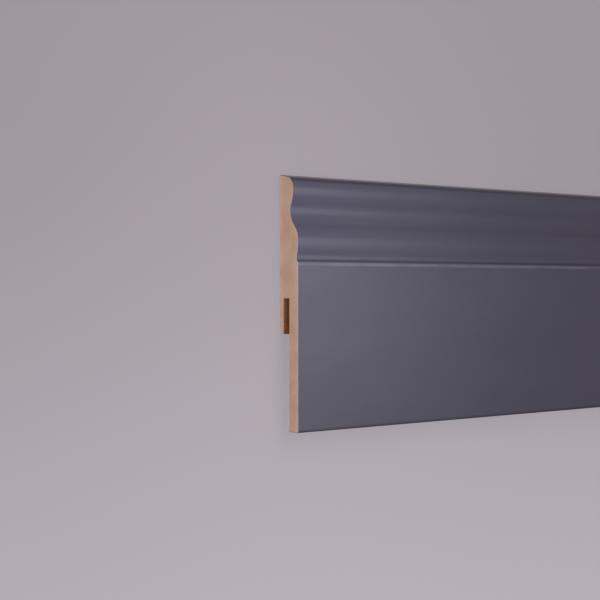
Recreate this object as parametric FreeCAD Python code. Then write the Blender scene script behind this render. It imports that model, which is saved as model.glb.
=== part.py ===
# A length of moulded skirting board, sawn square at both ends, in millimetres.
# It lies on its back on the floor, with its painted face up.
# X runs along the board, Y runs from its foot edge to its top edge, and Z is its thickness.
# The origin is under the middle of the board: the back lies on Z = 0.
# It is one piece: a board moulded to one section over its whole length.
# The section is drawn by drop, the distance below the top edge, and depth, the distance behind the face.

import FreeCAD, Part
import math
import os

# The stock
BOARD_LENGTH = 2400.0
BOARD_HEIGHT = 150.0
BOARD_THICKNESS = 18.0

# Top edge, which falls a little from the back to the nose of the moulding
TOP_FALL = 1.8
NOSE_DEPTH = 9.1
NOSE_ARRIS_RADIUS = 1.0

# Moulding: how far down it is from each turning point to the next, from the nose to the ledge
NOSE_TO_BEAD = 7.2
BEAD_TO_COVE = 12.3
COVE_TO_CREST = 17.7
CREST_TO_HOLLOW = 9.6
HOLLOW_TO_LEDGE = 1.5

# How deep each turning point lies behind the flat face
BEAD_DEPTH = 4.8
COVE_DEPTH = 7.6
CREST_DEPTH = 0.1
HOLLOW_DEPTH = 1.5

# The radius of the upper arc of each sweep over that of the lower arc
BEAD_TO_COVE_RATIO = 1.7
COVE_TO_CREST_RATIO = 1.0
CREST_TO_HOLLOW_RATIO = 3.0

# Ledge, which slopes down and out from the quirk to the flat face, and foot edge
LEDGE_FALL = 1.4
QUIRK_RADIUS = 0.3
FACE_ARRIS_RADIUS = 1.5
FOOT_ARRIS_RADIUS = 1.0

# Back: a rebate for cables over the foot edge, and a groove that a wall clip's tongue goes up into
REBATE_HEIGHT = 56.7
GROOVE_WIDTH = 5.6
GROOVE_HEIGHT = 21.0
LIP_THICKNESS = 3.6
LIP_NOSE_THICKNESS = 0.8
LIP_BEVEL_RISE = 5.2

# Turning points of the section as (drop, depth), from the top down
NOSE = (TOP_FALL, NOSE_DEPTH)
BEAD = (NOSE[0] + NOSE_TO_BEAD, BEAD_DEPTH)
COVE = (BEAD[0] + BEAD_TO_COVE, COVE_DEPTH)
CREST = (COVE[0] + COVE_TO_CREST, CREST_DEPTH)
HOLLOW = (CREST[0] + CREST_TO_HOLLOW, HOLLOW_DEPTH)
QUIRK = (HOLLOW[0] + HOLLOW_TO_LEDGE, HOLLOW_DEPTH)
FACE_TOP = (QUIRK[0] + LEDGE_FALL, 0.0)
FOOT_FRONT = (BOARD_HEIGHT, 0.0)

# Corners of the back, as drops below the top edge and depths behind the face
LIP_TIP_DROP = BOARD_HEIGHT - REBATE_HEIGHT
GROOVE_ROOT_DROP = LIP_TIP_DROP - GROOVE_HEIGHT
LIP_INNER_DEPTH = BOARD_THICKNESS - LIP_THICKNESS
FOOT_BACK_DEPTH = LIP_INNER_DEPTH - GROOVE_WIDTH

# How far a cutter runs past the surfaces that it opens
OVERRUN = 5.0

# The most that a rounding may take of the flat beside it
FILLET_SHARE = 0.9

# How near two points are that count as one
SAME_POINT = 1e-4


def at(drop, depth, x=-BOARD_LENGTH / 2):
    """The point at a drop below the top edge and a depth behind the face."""
    return FreeCAD.Vector(x, BOARD_HEIGHT / 2 - drop, BOARD_THICKNESS - depth)


def arc_from_flat(turning_point, radius, turn):
    """An arc that starts parallel to the face at a turning point.

    It runs down from there if the radius is positive and up if it is negative.
    A positive turn takes it behind the face, and a negative one in front.
    """
    def along(angle):
        drop = turning_point[0] + radius * math.sin(abs(angle))
        depth = turning_point[1] + math.copysign(abs(radius) * (1 - math.cos(angle)), turn)
        return at(drop, depth)

    return Part.Arc(along(0.0), along(turn / 2), along(turn)).toShape()


def nosing(nose, bead):
    """One arc from the front of the top edge down to the crest of the bead."""
    run = bead[0] - nose[0]
    rise = nose[1] - bead[1]
    radius = (run**2 + rise**2) / (2 * rise)
    return arc_from_flat(bead, -radius, math.atan2(run, radius - rise))


def sweep(start, end, ratio):
    """Two arcs, tangent where they meet, from one turning point down to the next."""
    run = end[0] - start[0]
    rise = end[1] - start[1]
    turn = 2 * math.atan2(rise, run)
    both_radii = run / math.sin(abs(turn))
    lower_radius = both_radii / (1 + ratio)
    upper_radius = both_radii - lower_radius
    return [arc_from_flat(start, upper_radius, turn), arc_from_flat(end, -lower_radius, -turn)]


def moulded_blank():
    """The board with its moulded face, before the back is worked."""
    edges = [nosing(NOSE, BEAD)]
    edges += sweep(BEAD, COVE, BEAD_TO_COVE_RATIO)
    edges += sweep(COVE, CREST, COVE_TO_CREST_RATIO)
    edges += sweep(CREST, HOLLOW, CREST_TO_HOLLOW_RATIO)
    foot_back = (BOARD_HEIGHT, BOARD_THICKNESS)
    top_back = (0.0, BOARD_THICKNESS)
    corners = [HOLLOW, QUIRK, FACE_TOP, FOOT_FRONT, foot_back, top_back, NOSE]
    for start, end in zip(corners, corners[1:]):
        edges.append(Part.makeLine(at(*start), at(*end)))
    section = Part.Face(Part.Wire(Part.__sortEdges__(edges)))
    return section.extrude(FreeCAD.Vector(BOARD_LENGTH, 0, 0))


def cutter(outline):
    """A solid that runs past both ends of the board, with an outline of (drop, depth) corners."""
    x = -BOARD_LENGTH / 2 - OVERRUN
    corners = [at(drop, depth, x) for drop, depth in outline]
    face = Part.Face(Part.makePolygon(corners + corners[:1]))
    return face.extrude(FreeCAD.Vector(BOARD_LENGTH + 2 * OVERRUN, 0, 0))


def cable_rebate():
    """The space behind the foot: it is as deep as the lip and the groove together."""
    below = BOARD_HEIGHT + OVERRUN
    behind = BOARD_THICKNESS + OVERRUN
    return cutter(
        [(LIP_TIP_DROP, FOOT_BACK_DEPTH), (below, FOOT_BACK_DEPTH), (below, behind), (LIP_TIP_DROP, behind)]
    )


def clip_groove():
    """The groove runs up from the rebate, behind which it leaves the lip."""
    below = LIP_TIP_DROP + OVERRUN
    return cutter(
        [
            (GROOVE_ROOT_DROP, FOOT_BACK_DEPTH),
            (below, FOOT_BACK_DEPTH),
            (below, LIP_INNER_DEPTH),
            (GROOVE_ROOT_DROP, LIP_INNER_DEPTH),
        ]
    )


def lip_bevel():
    """The wedge that is taken off the lip's outer corner, next to the wall."""
    start = LIP_TIP_DROP - LIP_BEVEL_RISE
    below = LIP_TIP_DROP + OVERRUN
    slope = (LIP_THICKNESS - LIP_NOSE_THICKNESS) / LIP_BEVEL_RISE
    behind = BOARD_THICKNESS + OVERRUN
    return cutter(
        [
            (start, BOARD_THICKNESS),
            (below, BOARD_THICKNESS - slope * (below - start)),
            (below, behind),
            (start, behind),
        ]
    )


def long_edge(board, corner):
    """The board's edge along X at that corner of the section."""
    wanted = at(*corner, 0.0)
    for edge in board.Edges:
        middle = edge.valueAt((edge.FirstParameter + edge.LastParameter) / 2)
        if middle.distanceToPoint(wanted) < SAME_POINT:
            return edge
    raise ValueError(f"the section has no corner at {corner}")


def eased(board):
    """The board with the painted corners of its section rounded."""
    ledge_width = math.hypot(LEDGE_FALL, HOLLOW_DEPTH)
    taken_per_radius = math.tan(math.atan2(HOLLOW_DEPTH, LEDGE_FALL) / 2)
    quirk_room = min(ledge_width / taken_per_radius - FACE_ARRIS_RADIUS, HOLLOW_TO_LEDGE / taken_per_radius)
    quirk_radius = min(QUIRK_RADIUS, FILLET_SHARE * quirk_room)
    for corner, radius in (
        (NOSE, NOSE_ARRIS_RADIUS),
        (QUIRK, quirk_radius),
        (FACE_TOP, FACE_ARRIS_RADIUS),
        (FOOT_FRONT, FOOT_ARRIS_RADIUS),
    ):
        board = board.makeFillet(radius, [long_edge(board, corner)])
    return board


def skirting_board():
    """The whole board: moulded, rebated, grooved, its lip bevelled and its painted corners eased."""
    board = moulded_blank()
    for tool in (cable_rebate(), clip_groove(), lip_bevel()):
        board = board.cut(tool)
    return eased(board)


os.makedirs("parts", exist_ok=True)
skirting_board().exportStep("parts/skirting_board.step")
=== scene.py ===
import math

import bmesh
import bpy
from mathutils import Matrix, Vector


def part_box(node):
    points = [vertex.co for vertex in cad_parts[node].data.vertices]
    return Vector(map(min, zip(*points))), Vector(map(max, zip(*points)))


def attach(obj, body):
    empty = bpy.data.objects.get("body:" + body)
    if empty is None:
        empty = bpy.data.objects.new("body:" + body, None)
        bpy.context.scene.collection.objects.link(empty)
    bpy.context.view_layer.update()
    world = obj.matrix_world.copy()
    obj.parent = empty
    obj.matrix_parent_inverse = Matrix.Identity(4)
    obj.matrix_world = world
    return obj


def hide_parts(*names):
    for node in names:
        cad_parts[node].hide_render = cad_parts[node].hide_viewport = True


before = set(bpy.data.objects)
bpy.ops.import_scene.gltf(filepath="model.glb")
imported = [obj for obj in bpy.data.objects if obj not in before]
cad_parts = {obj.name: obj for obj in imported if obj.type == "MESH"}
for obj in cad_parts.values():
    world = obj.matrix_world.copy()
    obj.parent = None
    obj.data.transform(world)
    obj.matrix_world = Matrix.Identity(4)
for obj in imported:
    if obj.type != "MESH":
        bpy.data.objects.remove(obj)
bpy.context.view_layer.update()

MM = 0.001
PIECE = "skirting_board"

# The board's own box, from the frame: X along it, Y from foot to top edge, Z from back to face
board_low, board_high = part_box(PIECE)
LOW_END, FOOT, BACK = board_low
HIGH_END, TOP, FACE = board_high
LENGTH = HIGH_END - LOW_END
HEIGHT = TOP - FOOT
THICKNESS = FACE - BACK

# Top edge, which falls a little from the back to the nose of the moulding
TOP_FALL = 1.8 * MM
NOSE_DEPTH = 9.1 * MM
NOSE_ARRIS_RADIUS = 1.0 * MM

# Moulding: how far down it is from each turning point to the next, from the nose to the ledge
NOSE_TO_BEAD = 7.2 * MM
BEAD_TO_COVE = 12.3 * MM
COVE_TO_CREST = 17.7 * MM
CREST_TO_HOLLOW = 9.6 * MM
HOLLOW_TO_LEDGE = 1.5 * MM

# How deep each turning point lies behind the flat face
BEAD_DEPTH = 4.8 * MM
COVE_DEPTH = 7.6 * MM
CREST_DEPTH = 0.1 * MM
HOLLOW_DEPTH = 1.5 * MM

# The radius of the upper arc of each sweep over that of the lower arc
BEAD_TO_COVE_RATIO = 1.7
COVE_TO_CREST_RATIO = 1.0
CREST_TO_HOLLOW_RATIO = 3.0

# Ledge, which slopes down and out from the quirk to the flat face, and foot edge
LEDGE_FALL = 1.4 * MM
QUIRK_RADIUS = 0.3 * MM
FACE_ARRIS_RADIUS = 1.5 * MM
FOOT_ARRIS_RADIUS = 1.0 * MM

# Back: the cable rebate behind the foot, and the clip groove with its bevelled lip
REBATE_HEIGHT = 56.7 * MM
GROOVE_WIDTH = 5.6 * MM
GROOVE_HEIGHT = 21.0 * MM
LIP_THICKNESS = 3.6 * MM
LIP_NOSE_THICKNESS = 0.8 * MM
LIP_BEVEL_RISE = 5.2 * MM

# Corners of the section as (drop, depth): the drop is below the top edge, the depth behind the flat face
NOSE = (TOP_FALL, NOSE_DEPTH)
BEAD = (NOSE[0] + NOSE_TO_BEAD, BEAD_DEPTH)
COVE = (BEAD[0] + BEAD_TO_COVE, COVE_DEPTH)
CREST = (COVE[0] + COVE_TO_CREST, CREST_DEPTH)
HOLLOW = (CREST[0] + CREST_TO_HOLLOW, HOLLOW_DEPTH)
QUIRK = (HOLLOW[0] + HOLLOW_TO_LEDGE, HOLLOW_DEPTH)
FACE_TOP = (QUIRK[0] + LEDGE_FALL, 0.0)
FOOT_FRONT = (HEIGHT, 0.0)
LIP_TIP_DROP = HEIGHT - REBATE_HEIGHT
GROOVE_ROOT_DROP = LIP_TIP_DROP - GROOVE_HEIGHT
LIP_INNER_DEPTH = THICKNESS - LIP_THICKNESS
FOOT_BACK_DEPTH = LIP_INNER_DEPTH - GROOVE_WIDTH

# How finely curves are cut, and the angle past which an edge stays sharp
ARC_STEP = 0.35 * MM
FEWEST_STEPS = 3
ARRIS_SEGMENTS = 6
SMOOTH_ANGLE = math.radians(24)

# The film of finish, which shows as a rim round the sawn ends
FILM = 0.25 * MM

# How near two places are that count as one
NEAR = 0.02 * MM

# Where each finish lies in the board's list of materials
FINISH, SAWN, MILLED, SANDED = range(4)


def at(drop, depth):
    """The point of the low-X end at a drop below the top edge and a depth behind the face."""
    return Vector((LOW_END, TOP - drop, FACE - depth))


def walk_line(bm, last, corner):
    """Carries the outline straight on to a corner of the section."""
    made = bmesh.ops.extrude_vert_indiv(bm, verts=[last])
    bmesh.ops.translate(bm, vec=at(*corner) - last.co, verts=made["verts"])
    return made["verts"][0]


def walk_arc(bm, last, centre, turn):
    """Carries the outline round a centre, by an angle about +X."""
    radius = (last.co - at(*centre)).length
    steps = max(FEWEST_STEPS, math.ceil(abs(turn) * radius / ARC_STEP))
    made = bmesh.ops.spin(
        bm, geom=[last], cent=at(*centre), axis=(1, 0, 0), dvec=(0, 0, 0), angle=turn, steps=steps
    )
    return next(item for item in made["geom_last"] if isinstance(item, bmesh.types.BMVert))


def walk_nosing(bm, last, nose, bead):
    """One arc from the front of the top edge down to the crest of the bead."""
    run = bead[0] - nose[0]
    rise = nose[1] - bead[1]
    radius = (run**2 + rise**2) / (2 * rise)
    return walk_arc(bm, last, (bead[0], bead[1] + radius), math.atan2(run, radius - rise))


def walk_sweep(bm, last, start, end, ratio):
    """Two tangent arcs from one turning point of the moulding down to the next."""
    run = end[0] - start[0]
    rise = end[1] - start[1]
    turn = 2 * math.atan2(rise, run)
    both_radii = run / math.sin(abs(turn))
    side = math.copysign(1.0, rise)
    lower_radius = both_radii / (1 + ratio)
    upper_radius = both_radii - lower_radius
    last = walk_arc(bm, last, (start[0], start[1] + side * upper_radius), turn)
    return walk_arc(bm, last, (end[0], end[1] - side * lower_radius), -turn)


def section_face(bm):
    """The low-X end as one face: down the moulding from the nose, and back up behind."""
    first = bm.verts.new(at(*NOSE))
    last = walk_nosing(bm, first, NOSE, BEAD)
    last = walk_sweep(bm, last, BEAD, COVE, BEAD_TO_COVE_RATIO)
    last = walk_sweep(bm, last, COVE, CREST, COVE_TO_CREST_RATIO)
    last = walk_sweep(bm, last, CREST, HOLLOW, CREST_TO_HOLLOW_RATIO)
    for corner in (
        QUIRK,
        FACE_TOP,
        FOOT_FRONT,
        (HEIGHT, FOOT_BACK_DEPTH),
        (GROOVE_ROOT_DROP, FOOT_BACK_DEPTH),
        (GROOVE_ROOT_DROP, LIP_INNER_DEPTH),
        (LIP_TIP_DROP, LIP_INNER_DEPTH),
        (LIP_TIP_DROP, LIP_INNER_DEPTH + LIP_NOSE_THICKNESS),
        (LIP_TIP_DROP - LIP_BEVEL_RISE, THICKNESS),
        (0.0, THICKNESS),
    ):
        last = walk_line(bm, last, corner)
    bm.edges.new((last, first))
    made = bmesh.ops.contextual_create(bm, geom=bm.edges[:])
    return made["faces"][0]


def runs_along(edge):
    """Whether an edge runs along the board."""
    return abs(edge.verts[0].co.x - edge.verts[1].co.x) > NEAR


def ease_corner(bm, corner, radius):
    """Rounds the long edge at a corner of the section."""
    place = at(*corner).yz
    found = [edge for edge in bm.edges if runs_along(edge) and (edge.verts[0].co.yz - place).length < NEAR]
    normals = [face.normal for face in found[0].link_faces]
    offset = radius * math.tan(normals[0].angle(normals[1]) / 2)
    bmesh.ops.bevel(
        bm, geom=found, offset=offset, offset_type="OFFSET", affect="EDGES",
        segments=ARRIS_SEGMENTS, profile=0.5, material=-1,
    )


def is_end(face):
    """Whether a face lies across the board, in one of its two sawn ends."""
    return abs(face.normal.x) > 0.5


def finish_of(face):
    """Which finish a face has, from where it lies in the section."""
    middle = face.calc_center_median()
    drop = TOP - middle.y
    depth = FACE - middle.z
    on_back = depth > THICKNESS - NEAR
    on_moulding = drop < QUIRK[0] and not on_back
    before_rebate = depth < FOOT_BACK_DEPTH - NEAR
    if is_end(face):
        return SAWN
    if on_moulding or before_rebate:
        return FINISH
    if on_back:
        return SANDED
    return MILLED


def rim_ends(bm):
    """Gives each sawn end a narrow rim, which is finish wherever the surface beside it is."""
    ends = [face for face in bm.faces if face.material_index == SAWN]
    rims = bmesh.ops.inset_individual(bm, faces=ends, thickness=FILM, use_even_offset=True)["faces"]
    for rim in rims:
        beside = next(face for edge in rim.edges for face in edge.link_faces if not is_end(face))
        if beside.material_index == FINISH:
            rim.material_index = FINISH


def make_board(materials):
    """The whole board, drawn as its section and run from end to end."""
    bm = bmesh.new()
    made = bmesh.ops.extrude_face_region(bm, geom=[section_face(bm)], use_keep_orig=True)
    far = [item for item in made["geom"] if isinstance(item, bmesh.types.BMVert)]
    bmesh.ops.translate(bm, vec=(LENGTH, 0, 0), verts=far)
    bmesh.ops.recalc_face_normals(bm, faces=bm.faces[:])
    for corner, radius in (
        (NOSE, NOSE_ARRIS_RADIUS),
        (QUIRK, QUIRK_RADIUS),
        (FACE_TOP, FACE_ARRIS_RADIUS),
        (FOOT_FRONT, FOOT_ARRIS_RADIUS),
    ):
        ease_corner(bm, corner, radius)
    for face in bm.faces:
        face.material_index = finish_of(face)
    rim_ends(bm)
    for face in bm.faces:
        face.smooth = True
    mesh = bpy.data.meshes.new("moulded_board")
    bm.to_mesh(mesh)
    bm.free()
    mesh.set_sharp_from_angle(angle=SMOOTH_ANGLE)
    for material in materials:
        mesh.materials.append(material)
    board = bpy.data.objects.new("moulded_board", mesh)
    bpy.context.scene.collection.objects.link(board)
    flats_first = board.modifiers.new("flats_first", "WEIGHTED_NORMAL")
    flats_first.mode = "FACE_AREA"
    flats_first.keep_sharp = True
    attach(board, "root")
    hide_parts(PIECE)


def srgb(red, green, blue):
    """A colour written in the usual 0 to 255 steps, as the linear values that a socket takes."""
    steps = [value / 255 for value in (red, green, blue)]
    linear = [v / 12.92 if v <= 0.04045 else ((v + 0.055) / 1.055) ** 2.4 for v in steps]
    return (*linear, 1.0)


def feed(tree, socket, value):
    """Sets a socket to a value, or joins it to another node's output."""
    if isinstance(value, bpy.types.NodeSocket):
        tree.links.new(value, socket)
    else:
        socket.default_value = value


def add(tree, kind, **inputs):
    """A new node with its named inputs fed."""
    made = tree.nodes.new("ShaderNode" + kind)
    for name, value in inputs.items():
        feed(tree, made.inputs[name], value)
    return made


def maths(tree, operation, *values):
    """The result of one operation on the values."""
    made = add(tree, "Math")
    made.operation = operation
    for socket, value in zip(made.inputs, values):
        feed(tree, socket, value)
    return made.outputs[0]


def spread(tree, value, start, end, low=0.0, high=1.0):
    """Goes smoothly from low to high as the value goes from start to end."""
    made = add(tree, "MapRange", Value=value)
    made.interpolation_type = "SMOOTHSTEP"
    for name, number in (("From Min", start), ("From Max", end), ("To Min", low), ("To Max", high)):
        feed(tree, made.inputs[name], number)
    return made.outputs["Result"]


def blend(tree, share, first, second):
    """The first colour where the share is 0, and the second where it is 1."""
    made = add(tree, "Mix")
    made.data_type = "RGBA"
    inputs = {socket.identifier: socket for socket in made.inputs}
    feed(tree, inputs["Factor_Float"], share)
    feed(tree, inputs["A_Color"], first)
    feed(tree, inputs["B_Color"], second)
    return next(socket for socket in made.outputs if socket.identifier == "Result_Color")


def grain(tree, place, waves, detail=2.0):
    """Soft noise from 0 to 1, with so many waves to the metre along X, Y and Z."""
    stretched = add(tree, "VectorMath")
    stretched.operation = "MULTIPLY"
    feed(tree, stretched.inputs[0], place)
    stretched.inputs[1].default_value = waves
    return add(tree, "TexNoise", Vector=stretched.outputs[0], Scale=1.0, Detail=detail).outputs[0]


def new_group(name, inputs, outputs):
    """An empty shader group with its sockets, and its input and output nodes."""
    tree = bpy.data.node_groups.new(name, "ShaderNodeTree")
    for direction, sockets in (("INPUT", inputs), ("OUTPUT", outputs)):
        for label, kind in sockets:
            tree.interface.new_socket(name=label, in_out=direction, socket_type="NodeSocket" + kind)
    return tree, tree.nodes.new("NodeGroupInput").outputs, tree.nodes.new("NodeGroupOutput").inputs


def place_group(tree, group, **inputs):
    """The outputs of a group, placed in a material with its named inputs fed."""
    made = tree.nodes.new("ShaderNodeGroup")
    made.node_tree = group
    for name, value in inputs.items():
        feed(tree, made.inputs[name], value)
    return made.outputs


def pressed_fibre():
    """Cloudy colour with dark and pale flecks, and the tufts that the fibres leave."""
    tree, given, wanted = new_group(
        "pressed_fibre",
        [
            ("Place", "Vector"),
            ("Colour", "Color"),
            ("Dark", "Color"),
            ("Pale", "Color"),
            ("Contrast", "Float"),
        ],
        [("Colour", "Color"), ("Tufts", "Float")],
    )
    clouds = grain(tree, given["Place"], (45, 90, 90), 3.0)
    flecks = grain(tree, given["Place"], (900, 1300, 1300), 3.0)
    fibres = grain(tree, given["Place"], (500, 2600, 1500), 2.0)
    colour = given["Colour"]
    for noise, start, end, tint in (
        (clouds, 0.35, 0.7, given["Dark"]),
        (flecks, 0.55, 0.75, given["Dark"]),
        (fibres, 0.55, 0.75, given["Pale"]),
    ):
        share = maths(tree, "MULTIPLY", spread(tree, noise, start, end), given["Contrast"])
        colour = blend(tree, share, colour, tint)
    tree.links.new(colour, wanted["Colour"])
    tree.links.new(maths(tree, "ADD", flecks, fibres), wanted["Tufts"])
    return tree


# How far the mist of finish reaches past a painted edge, where it reaches least and most
MIST_LEAST = 0.4 * MM
MIST_MOST = 4.0 * MM


def overspray():
    """A thin uneven mist of the finish beside a painted edge."""
    tree, given, wanted = new_group(
        "overspray", [("Place", "Vector"), ("Distance", "Float")], [("Mist", "Float")]
    )
    drift = grain(tree, given["Place"], (70, 70, 70), 3.0)
    speckle = grain(tree, given["Place"], (1400, 1400, 1400), 2.0)
    reach = spread(tree, drift, 0.3, 0.75, MIST_LEAST, MIST_MOST)
    share = spread(tree, maths(tree, "DIVIDE", given["Distance"], reach), 0.0, 1.0, 1.0, 0.0)
    mist = maths(tree, "MULTIPLY", share, spread(tree, speckle, 0.3, 0.6, 0.35, 0.9))
    tree.links.new(mist, wanted["Mist"])
    return tree


def new_material(name):
    """A material with its tree, its shader's inputs, and the place on the piece."""
    material = bpy.data.materials.new(name)
    material.use_nodes = True
    tree = material.node_tree
    place = add(tree, "TexCoord").outputs["Object"]
    return material, tree, tree.nodes["Principled BSDF"].inputs, place


def relief(tree, height, strength, depth):
    """The normal of a surface with a fine relief."""
    return add(tree, "Bump", Height=height, Strength=strength, Distance=depth).outputs["Normal"]


def along_axis(tree, place, axis):
    """A place's coordinate along X, Y or Z."""
    return add(tree, "SeparateXYZ", Vector=place).outputs[axis]


def from_line(tree, place, corner):
    """How far a place is from the line along the board at a corner of the section."""
    across = maths(tree, "SUBTRACT", along_axis(tree, place, "Y"), TOP - corner[0])
    deep = maths(tree, "SUBTRACT", along_axis(tree, place, "Z"), FACE - corner[1])
    across_squared = maths(tree, "MULTIPLY", across, across)
    deep_squared = maths(tree, "MULTIPLY", deep, deep)
    return maths(tree, "SQRT", maths(tree, "ADD", across_squared, deep_squared))


# The finish: as a mist, in its two cloudy tones, as painted shade, and as painted highlight
ANTHRACITE = srgb(77, 75, 92)
DARKER_CLOUD = srgb(75, 73, 89)
PALER_CLOUD = srgb(79, 76, 93)
PAINTED_SHADE_ANTHRACITE = srgb(41, 39, 48)
PAINTED_HIGHLIGHT_ANTHRACITE = srgb(103, 100, 115)

# The line of painted highlight, just below the corner of the ledge, and how far off it starts and ends to
# fade
PAINTED_HIGHLIGHT_LINE = (FACE_TOP[0] + 0.8 * MM, 0.0)
PAINTED_HIGHLIGHT_FADE = (0.6 * MM, 1.3 * MM)

# The corners along which shade is painted on the finish: how far off it starts and ends to fade, and how
# dark it is
PAINTED_SHADE_LINES = (
    (QUIRK, 0.4 * MM, 1.1 * MM, 0.5),
    (NOSE, 2.0 * MM, 4.6 * MM, 0.85),
    (FOOT_FRONT, 1.0 * MM, 2.2 * MM, 0.6),
)


def anthracite_finish():
    """Satin lacquer, a little cloudy, with painted shade along its crease and arrises and a painted
    highlight by the ledge.
    """
    material, tree, shader, place = new_material("anthracite_finish")
    clouds = spread(tree, grain(tree, place, (9, 30, 30), 3.0), 0.3, 0.7)
    colour = blend(tree, clouds, DARKER_CLOUD, PALER_CLOUD)
    # Painted shade: the finish is darkened along the quirk's crease and along the nose and foot arrises.
    for corner, start, end, share in PAINTED_SHADE_LINES:
        dark = spread(tree, from_line(tree, place, corner), start, end, share, 0.0)
        colour = blend(tree, dark, colour, PAINTED_SHADE_ANTHRACITE)
    # Painted highlight: a paler line along the rounded arris just below the ledge, uneven along the board.
    painted_highlight = spread(tree, from_line(tree, place, PAINTED_HIGHLIGHT_LINE), *PAINTED_HIGHLIGHT_FADE, 1.0, 0.0)
    uneven = spread(tree, grain(tree, place, (40, 0, 0), 2.0), 0.35, 0.6, 0.45, 1.0)
    colour = blend(tree, maths(tree, "MULTIPLY", painted_highlight, uneven), colour, PAINTED_HIGHLIGHT_ANTHRACITE)
    feed(tree, shader["Base Color"], colour)
    lines = grain(tree, place, (4, 900, 900), 2.0)
    feed(tree, shader["Roughness"], spread(tree, lines, 0.2, 0.8, 0.24, 0.26))
    speckle = grain(tree, place, (1100, 1100, 1100), 1.0)
    peel = grain(tree, place, (260, 320, 320), 1.0)
    height = maths(tree, "MULTIPLY_ADD", peel, 3.0, speckle)
    feed(tree, shader["Normal"], relief(tree, height, 0.08, 0.02 * MM))
    return material


def sawn_fibreboard(fibre):
    """The sawn end: a warm core between paler pressed faces, with faint saw lines."""
    material, tree, shader, place = new_material("sawn_fibreboard")
    off_middle = maths(tree, "SUBTRACT", along_axis(tree, place, "Z"), (FACE + BACK) / 2)
    skin = spread(tree, maths(tree, "ABSOLUTE", off_middle), 4.5 * MM, 8.5 * MM)
    colour = blend(tree, skin, srgb(175, 145, 124), srgb(181, 153, 140))
    made = place_group(
        tree, fibre,
        Place=place, Colour=colour, Dark=srgb(150, 114, 84), Pale=srgb(208, 182, 160), Contrast=0.35,
    )
    feed(tree, shader["Base Color"], made["Colour"])
    shader["Roughness"].default_value = 0.9
    saw = grain(tree, place, (0, 1500, 60), 2.0)
    feed(tree, shader["Normal"], relief(tree, maths(tree, "ADD", made["Tufts"], saw), 0.35, 0.1 * MM))
    return material


def milled_fibreboard(fibre, mist):
    """The walls of the rebate and the groove, darker and furry, with lines along the cutter's way, and
    painted shade in the groove.
    """
    material, tree, shader, place = new_material("milled_fibreboard")
    y = along_axis(tree, place, "Y")
    groove_mouth = TOP - LIP_TIP_DROP
    # Inside the groove the walls are darker and redder: partly the milled core's own tone, partly painted
    # shade of the narrow groove.
    groove_painted_shade = spread(tree, y, groove_mouth - 1.0 * MM, groove_mouth + 1.0 * MM)
    colour = blend(tree, groove_painted_shade, srgb(152, 116, 86), srgb(150, 97, 62))
    made = place_group(
        tree, fibre,
        Place=place, Colour=colour, Dark=srgb(128, 84, 54), Pale=srgb(190, 150, 112), Contrast=0.4,
    )
    sprayed = place_group(tree, mist, Place=place, Distance=maths(tree, "SUBTRACT", y, FOOT))["Mist"]
    feed(tree, shader["Base Color"], blend(tree, sprayed, made["Colour"], ANTHRACITE))
    shader["Roughness"].default_value = 0.95
    cuts = grain(tree, place, (6, 700, 700), 2.0)
    feed(tree, shader["Normal"], relief(tree, maths(tree, "ADD", made["Tufts"], cuts), 0.4, 0.12 * MM))
    return material


def sanded_back(fibre, mist):
    """The back, sanded smooth, with fine scratches along it and a mist of finish by the top edge."""
    material, tree, shader, place = new_material("sanded_back")
    made = place_group(
        tree, fibre,
        Place=place, Colour=srgb(182, 150, 121), Dark=srgb(158, 124, 95), Pale=srgb(200, 174, 148),
        Contrast=0.4,
    )
    below_top = maths(tree, "SUBTRACT", TOP, along_axis(tree, place, "Y"))
    sprayed = place_group(tree, mist, Place=place, Distance=below_top)["Mist"]
    feed(tree, shader["Base Color"], blend(tree, sprayed, made["Colour"], ANTHRACITE))
    shader["Roughness"].default_value = 0.8
    scratches = grain(tree, place, (15, 2200, 2200), 2.0)
    feed(tree, shader["Normal"], relief(tree, scratches, 0.2, 0.04 * MM))
    return material


# Camera: at the height and distance from the low-X end that the photograph was taken from
LENS = 77.5
SENSOR = 36.0
TURN = math.radians(52.59)
PITCH = math.radians(0.533)
EYE = Vector((LOW_END - 450.7 * MM, FOOT + 83.7 * MM, FACE + 590.6 * MM))


def make_camera():
    """It looks down on the lying board, with the board's top edge towards the top of the picture."""
    forward = Vector((
        math.cos(TURN) * math.cos(PITCH),
        -math.sin(PITCH),
        -math.sin(TURN) * math.cos(PITCH),
    ))
    right = forward.cross(Vector((0, 1, 0))).normalized()
    up = right.cross(forward)
    data = bpy.data.cameras.new("camera")
    data.lens = LENS
    data.sensor_width = SENSOR
    data.clip_start = 0.01
    data.clip_end = 50.0
    camera = bpy.data.objects.new("camera", data)
    camera.matrix_world = Matrix.Translation(EYE) @ Matrix((right, up, -forward)).transposed().to_4x4()
    bpy.context.scene.collection.objects.link(camera)
    bpy.context.scene.camera = camera


# How far from the low-X end the softboxes aim, and the fill for the part far from the camera
SOFTBOX_AIM = 0.05
FAR_AIM = 1.55

# The world's light, and the colour that the camera sees behind everything
WORLD_LIGHT = 0.24
BACKDROP = srgb(154, 146, 153)

# The floor's tone, painted darker as shade past the board's top edge and paler as light past its foot, and
# the Y at which it starts and ends to change from one to the other
FLOOR_PAINTED_SHADE_PAST_TOP = srgb(164, 155, 163)
FLOOR_PAINTED_LIGHT_PAST_FOOT = srgb(192, 183, 193)
SHADE_START = 0.1
SHADE_END = -0.25

# How much of the floor the camera sees plain, without light or shadow, and how far it goes each way
PLAIN_SHARE = 0.8
FLOOR_REACH = 30.0


def face_middle(x):
    """The point in the middle of the face's height, at a place along the board."""
    return Vector((x, 0.0, FACE))


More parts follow.
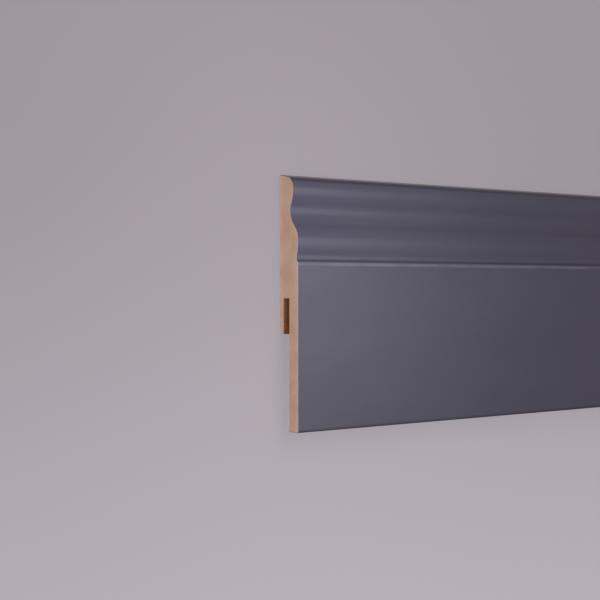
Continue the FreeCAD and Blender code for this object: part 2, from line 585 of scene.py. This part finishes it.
def soft_light(name, aim, away, width, length, radiance, cone=90.0, mirrored=True):
    """A rectangular soft light that stands away from the point that it aims at.

    Its width is across the board, and its length along it. The radiance is the one straight in
    front, and the light fades out to the side of its cone, half of which is given in degrees.
    Unless it is mirrored, it leaves no bright patch in the gloss of the finish.
    """
    half_angle = math.radians(cone)
    data = bpy.data.lights.new(name, "AREA")
    data.shape = "RECTANGLE"
    data.size = length
    data.size_y = width
    data.energy = radiance * math.pi * width * length * (1 - half_angle / math.tan(half_angle))
    data.spread = 2 * half_angle
    lamp = bpy.data.objects.new(name, data)
    lamp.visible_camera = False
    lamp.visible_glossy = mirrored
    back = Vector(away).normalized()
    along = Vector((0, 1, 0)).cross(back).normalized()
    across = back.cross(along)
    place = Matrix.Translation(aim + Vector(away))
    lamp.matrix_world = place @ Matrix((along, across, back)).transposed().to_4x4()
    bpy.context.scene.collection.objects.link(lamp)


def seen(tree):
    """1 for what the camera sees, directly, mirrored or through glass, and 0 for the light itself."""
    path = add(tree, "LightPath").outputs
    mirrored = maths(tree, "MAXIMUM", path["Is Glossy Ray"], path["Is Transmission Ray"])
    return maths(tree, "MAXIMUM", path["Is Camera Ray"], mirrored)


def mix_shaders(tree, share, first, second):
    """The first shader where the share is 0, and the second where it is 1."""
    made = add(tree, "MixShader")
    for socket, value in zip(made.inputs, (share, first, second)):
        feed(tree, socket, value)
    return made.outputs["Shader"]


def light_board():
    """Two softboxes for the part by the camera, and fills for the two ends and the far part."""
    near_part = face_middle(LOW_END + SOFTBOX_AIM)
    soft_light("strip_softbox", near_part, (1.57, 0.181, 2.22), width=1.34, length=0.165, radiance=3.9)
    soft_light("key_softbox", near_part, (-0.05, 0.055, 0.2), width=0.166, length=0.166, radiance=4.75)
    for name, end, outward in (("low_end_fill", LOW_END, -2.15), ("high_end_fill", HIGH_END, 2.15)):
        soft_light(
            name, face_middle(end), (outward, 0.05, 0.62),
            width=1.6, length=1.1, radiance=7.7, cone=45.0, mirrored=False,
        )
    soft_light(
        "far_fill", face_middle(LOW_END + FAR_AIM), (0.0, -0.47, 0.52),
        width=0.65, length=2.1, radiance=8.0, cone=30.0, mirrored=False,
    )


def make_world():
    """An even white light all round, and the plain backdrop that the camera sees instead of it."""
    world = bpy.data.worlds.new("studio")
    world.use_nodes = True
    tree = world.node_tree
    light = tree.nodes["Background"]
    light.inputs["Color"].default_value = (1, 1, 1, 1)
    light.inputs["Strength"].default_value = WORLD_LIGHT
    backdrop = add(tree, "Background", Color=BACKDROP, Strength=1.0)
    mixed = mix_shaders(tree, seen(tree), light.outputs["Background"], backdrop.outputs["Background"])
    tree.links.new(mixed, tree.nodes["World Output"].inputs["Surface"])
    bpy.context.scene.world = world


def pale_floor():
    """A plain floor with painted shade past the board's top edge and painted light in front of its foot,
    that keeps a light shadow.
    """
    material, tree, shader, place = new_material("pale_floor")
    # Painted shade past the board's top edge, fading into painted light past its foot.
    past_foot = spread(tree, along_axis(tree, place, "Y"), SHADE_START, SHADE_END)
    shade = blend(tree, past_foot, FLOOR_PAINTED_SHADE_PAST_TOP, FLOOR_PAINTED_LIGHT_PAST_FOOT)
    feed(tree, shader["Base Color"], shade)
    shader["Roughness"].default_value = 0.8
    lit = tree.nodes["Principled BSDF"].outputs["BSDF"]
    plain = add(tree, "Emission", Color=shade).outputs["Emission"]
    mixed = mix_shaders(tree, maths(tree, "MULTIPLY", seen(tree), PLAIN_SHARE), lit, plain)
    tree.links.new(mixed, tree.nodes["Material Output"].inputs["Surface"])
    return material


def make_floor():
    """The floor that the board lies on."""
    bm = bmesh.new()
    bmesh.ops.create_grid(bm, x_segments=1, y_segments=1, size=FLOOR_REACH)
    mesh = bpy.data.meshes.new("floor")
    bm.to_mesh(mesh)
    bm.free()
    mesh.materials.append(pale_floor())
    floor = bpy.data.objects.new("floor", mesh)
    bpy.context.scene.collection.objects.link(floor)


fibre = pressed_fibre()
mist = overspray()
make_board([
    anthracite_finish(),
    sawn_fibreboard(fibre),
    milled_fibreboard(fibre, mist),
    sanded_back(fibre, mist),
])
make_camera()
light_board()
make_world()
make_floor()
bpy.context.scene.view_settings.view_transform = "Standard"
